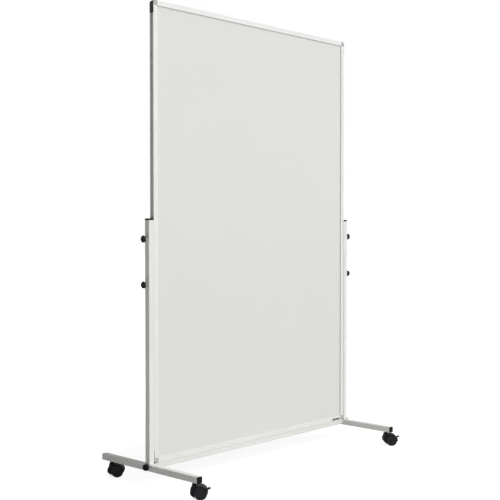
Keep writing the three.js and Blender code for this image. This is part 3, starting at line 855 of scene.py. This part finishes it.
def add_stand():
    """Both legs and the cross-bar between them."""
    shapes["post"] = post()
    shapes["foot_bar"] = foot_bar()
    shapes["post_cap"] = cap(POST_CAP, POST_PLUG)
    shapes["foot_cap"] = cap(END_CAP, END_PLUG)
    shapes["post_knob"] = knob(POST_KNOB, [(KNOB_UNDERSIDE, POST_KNOB["neck"])])
    shapes["post_screw"] = post_screw()
    shapes["foot_knob"] = foot_knob()
    shapes["washer"] = washer()
    for side, sign in SIDES.items():
        add_leg(side, sign)
        keep(f"cross_bar_{side}_plug")
    level = shift(z=CROSS_BAR_AXIS) @ spin(90, "Y")
    place("cross_bar", tube(CROSS_BAR, -CROSS_BAR_HALF, CROSS_BAR_HALF), level)


# ---- castors ------------------------------------------------------------


def castor_housing():
    """A web between the wheels, a hood over them and a hollow nose before them."""
    nose = drawn([
        (6, 6, 1), (-5, 12, 6), (-16.4, 22.5, 5), (-17, 33.5, 8), (-10.5, 47.5, 6),
        (-9.6, HOOD_TOP, 1.2), (9, HOOD_TOP, 0),
    ], 5)
    hood = arc((TRAIL, WHEEL_RADIUS), HOOD_RADIUS, HOOD_FROM, HOOD_TO, 30)
    tail = fillet([(47.6, 22), (37, 19), (30, 12.5), (TRAIL, 10.5)], 0.8, 3)
    mesh = side_slab(nose + hood + tail, HOOD_WIDTH, 2.2)
    tools = []
    pocket = fillet([(-15, 0), (-15, 33), (-11, 42.5), (-8.5, 46), (6, 46), (6, 0)], 1.2, 3)
    pocket_width = HOOD_WIDTH / 2 - WALL - WEB_WIDTH / 2
    for side in (-1, 1):
        span = sorted((side * WEB_WIDTH / 2, side * HOOD_WIDTH))
        tools.append(bar("y", WHEEL_SPACE_RADIUS, *span, (TRAIL, 0, WHEEL_RADIUS), 96))
        hollow = side_slab(pocket, pocket_width)
        hollow.transform(shift(0, side * (WEB_WIDTH + pocket_width) / 2, 0))
        tools.append(hollow)
    slot, half = LEVER_SLOT, WEB_WIDTH / 2
    tools.append(block(slot["from"], slot["to"], -half, half, 0, slot["top"]))
    mesh = cut(mesh, *tools)
    neck = turned([
        (9.5, NECK_FROM), (9.5, 56.4), (9.3, 57.4), (9.1, 59.2), (9.0, 60.1), (8.4, NECK_TOP),
    ])
    pivot = (LEVER_PIVOT[0], 0, LEVER_PIVOT[1])
    holes = [
        bar("z", STEM_RADIUS - 1 + GAP, STEM_BOTTOM - GAP, NECK_TOP + 2),
        bar("y", AXLE_RADIUS + GAP, -HOOD_WIDTH, HOOD_WIDTH, (TRAIL, 0, WHEEL_RADIUS)),
        bar("y", LEVER_BARREL + GAP, -HOOD_WIDTH, HOOD_WIDTH, pivot),
    ]
    mesh = cut(add(mesh, neck), *holes)
    return softened(mesh, 0.35)


def castor_wheel():
    """A tyre with round shoulders, a stepped disc and a hub, its inner face on z = 0."""
    bore = AXLE_RADIUS + GAP
    profile = [(bore, 12), (bore, 0.3), (bore + 0.3, 0), (23.2, 0)]
    profile += arc((23.4, 1.6), 1.6, -90, 0, 5)
    profile += arc((23.0, WHEEL_WIDTH - 2.0), 2.0, 0, 90, 6)
    profile += [
        (21.0, 15.0), (20.3, 14.8), (20.0, 14.2), (19.6, 13.4), (19.2, 13.2), (17.6, 13.2),
        (17.2, 13.4), (16.8, 13.8), (16.0, 14.0), (9.0, 14.25), (8.4, 14.1), (8.0, 13.6),
        (7.4, 13.4), (6.6, 13.45), (6.0, 14.1), (5.4, 14.5), (3.0, 14.8), (1.2, 14.85),
    ]
    return turned(profile, 96)


def castor_stem():
    """A pin up into the foot bar, with a collar under it and a pin down into the housing."""
    collar = NECK_TOP + GAP
    top = FOOT_BOTTOM - GAP
    return turned([
        (3.4, STEM_BOTTOM), (4, STEM_BOTTOM + 0.8), (4, collar), (8.6, collar),
        (9, collar + 0.3), (9, top - 0.3), (8.7, top), (STEM_RADIUS, top),
        (STEM_RADIUS, FOOT_BOTTOM + 17), (4, FOOT_BOTTOM + 18),
    ], 48)


def brake_lever():
    """A barrel that snaps into the housing's web, an arm and a grooved foot pedal."""
    arm = fillet([(0, -2), (9, 0.5), (12, 1), (12, 5), (8, 4), (0, 2)], 1.0, 3)
    pedal = drawn([
        (11, 1.2, 1), (20, 2.4, 1.5), (20.8, 3.6, 1), (20.4, 5.2, 1), (19.4, 6, 1), (11.4, 5, 1.2),
    ], 3)
    half = WEB_WIDTH / 2 - GAP
    mesh = bar("y", LEVER_BARREL, -half, half)
    mesh = add(mesh, side_slab(arm, ARM_WIDTH, 0.8), side_slab(pedal, PEDAL_WIDTH, 1.0))
    grooves = [
        bar("y", 0.6, -9.5, 9.5, (x, 0, 5.15 + 0.12 * (x - 12)), 16) for x in PEDAL_GROOVES
    ]
    mesh = cut(mesh, *grooves)
    mesh.transform(shift(LEVER_PIVOT[0], 0, LEVER_PIVOT[1]))
    return softened(mesh, 0.2)


def add_castors():
    housing, wheel = castor_housing(), castor_wheel()
    stem, lever = castor_stem(), brake_lever()
    for end, y in STEM_Y.items():
        for side, sign in SIDES.items():
            name = f"{end}_{side}_castor"
            where = shift(sign * POST_CENTRE_X, y) @ spin(HEADING, "Z")
            place(f"{name}_stem", stem, where)
            place(f"{name}_housing", housing, where)
            keep(f"{name}_axle")
            for number, face in ((1, -1), (2, 1)):
                hub = shift(TRAIL, face * (WEB_WIDTH / 2 + GAP), WHEEL_RADIUS)
                place(f"{name}_wheel_{number}", wheel, where @ hub @ spin(-90 * face, "X"))
            if end == "front":
                place(f"{name}_brake_lever", lever, where)


# ---- studio -------------------------------------------------------------

# The camera that the board's, the feet's and the posts' edges give: level apart from a slight
# tilt down, to the front left
CAMERA_PLACE = (-3096.1, -2855.8, 1012.6)
CAMERA_YAW = 46.914
CAMERA_TILT = -1.374
CAMERA_LENS = 70.006
SENSOR = 36
NEAREST = 0.05
FURTHEST = 100

# The studio's soft light: brightest towards the front right, dim towards the rear left
BRIGHT_WAY = Vector((0.56, -0.68, 0.50)).normalized()
DIM_LEVEL = 0.055
BRIGHT_LEVEL = 1.37
DIM_FROM = -0.23
BRIGHT_FROM = 0.9
KEY_WAY = Vector((0.24, -0.68, 0.69)).normalized()
KEY_STRENGTH = 1.05
KEY_SIZE = 50

# The floor's own colour, and the white that it fades to as the camera sees it
FLOOR_COLOUR = (0.60, 0.60, 0.60, 1)
FLOOR_WHITE = 1.4
FLOOR_GLOW = 0.6
FLOOR_FADE = (0.4, 1.9)
FLOOR_RADIUS = 30
FLOOR_DROP = 0.0002


def add_camera():
    data = bpy.data.cameras.new("camera")
    data.sensor_width = SENSOR
    data.lens = CAMERA_LENS
    data.clip_start = NEAREST
    data.clip_end = FURTHEST
    camera = bpy.data.objects.new("camera", data)
    camera.location = Vector(CAMERA_PLACE) * 0.001
    camera.rotation_euler = (math.radians(90 + CAMERA_TILT), 0, math.radians(-CAMERA_YAW))
    bpy.context.scene.collection.objects.link(camera)
    bpy.context.scene.camera = camera


def add_world():
    """White behind the object, and a soft light that fades from the front right round."""
    world = bpy.data.worlds.new("studio")
    world.use_nodes = True
    nodes, links = world.node_tree.nodes, world.node_tree.links
    nodes.clear()
    place_node = nodes.new("ShaderNodeTexCoord")
    facing = nodes.new("ShaderNodeVectorMath")
    facing.operation = "DOT_PRODUCT"
    facing.inputs[1].default_value = BRIGHT_WAY
    level = nodes.new("ShaderNodeMapRange")
    level.interpolation_type = "SMOOTHSTEP"
    values = (DIM_FROM, BRIGHT_FROM, DIM_LEVEL, BRIGHT_LEVEL)
    for socket, value in zip(RANGE_SOCKETS, values):
        level.inputs[socket].default_value = value
    light = nodes.new("ShaderNodeBackground")
    light.inputs["Color"].default_value = (1, 1, 1, 1)
    behind = nodes.new("ShaderNodeBackground")
    behind.inputs["Color"].default_value = (1, 1, 1, 1)
    path = nodes.new("ShaderNodeLightPath")
    mix = nodes.new("ShaderNodeMixShader")
    out = nodes.new("ShaderNodeOutputWorld")
    links.new(place_node.outputs["Generated"], facing.inputs[0])
    links.new(facing.outputs["Value"], level.inputs["Value"])
    links.new(level.outputs["Result"], light.inputs["Strength"])
    links.new(path.outputs["Is Camera Ray"], mix.inputs["Fac"])
    links.new(light.outputs["Background"], mix.inputs[1])
    links.new(behind.outputs["Background"], mix.inputs[2])
    links.new(mix.outputs["Shader"], out.inputs["Surface"])
    bpy.context.scene.world = world


def add_key_light():
    """A very soft sun from above the front."""
    data = bpy.data.lights.new("key", "SUN")
    data.energy = KEY_STRENGTH
    data.angle = math.radians(KEY_SIZE)
    light = bpy.data.objects.new("key", data)
    light.rotation_euler = KEY_WAY.to_track_quat("Z", "Y").to_euler()
    bpy.context.scene.collection.objects.link(light)


def add_floor():
    """A pale floor, faintly shaded, that fades to plain white away from the object."""
    bm = bmesh.new()
    bmesh.ops.create_circle(bm, cap_ends=True, segments=96, radius=FLOOR_RADIUS)
    mesh = mesh_from(bm, "floor")
    floor = bpy.data.objects.new("floor", mesh)
    floor.location.z = -FLOOR_DROP
    bpy.context.scene.collection.objects.link(floor)
    material = bpy.data.materials.new("floor")
    material.use_nodes = True
    nodes, links = material.node_tree.nodes, material.node_tree.links
    shader = nodes["Principled BSDF"]
    shader.inputs["Base Color"].default_value = FLOOR_COLOUR
    shader.inputs["Roughness"].default_value = 0.9
    place_node = nodes.new("ShaderNodeTexCoord")
    distance = nodes.new("ShaderNodeVectorMath")
    distance.operation = "LENGTH"
    fade = nodes.new("ShaderNodeMapRange")
    fade.interpolation_type = "SMOOTHSTEP"
    for socket, value in zip(RANGE_SOCKETS, (*FLOOR_FADE, FLOOR_GLOW, 1)):
        fade.inputs[socket].default_value = value
    white = nodes.new("ShaderNodeEmission")
    white.inputs["Color"].default_value = (1, 1, 1, 1)
    white.inputs["Strength"].default_value = FLOOR_WHITE
    path = nodes.new("ShaderNodeLightPath")
    seen = nodes.new("ShaderNodeMath")
    seen.operation = "MULTIPLY"
    mix = nodes.new("ShaderNodeMixShader")
    links.new(place_node.outputs["Object"], distance.inputs[0])
    links.new(distance.outputs["Value"], fade.inputs["Value"])
    links.new(fade.outputs["Result"], seen.inputs[0])
    links.new(path.outputs["Is Camera Ray"], seen.inputs[1])
    links.new(seen.outputs["Value"], mix.inputs["Fac"])
    links.new(shader.outputs["BSDF"], mix.inputs[1])
    links.new(white.outputs["Emission"], mix.inputs[2])
    links.new(mix.outputs["Shader"], nodes["Material Output"].inputs["Surface"])
    mesh.materials.append(material)


shapes = {}
add_board()
add_stand()
add_castors()
add_floor()
add_world()
add_key_light()
add_camera()
bpy.context.scene.view_settings.view_transform = "Standard"
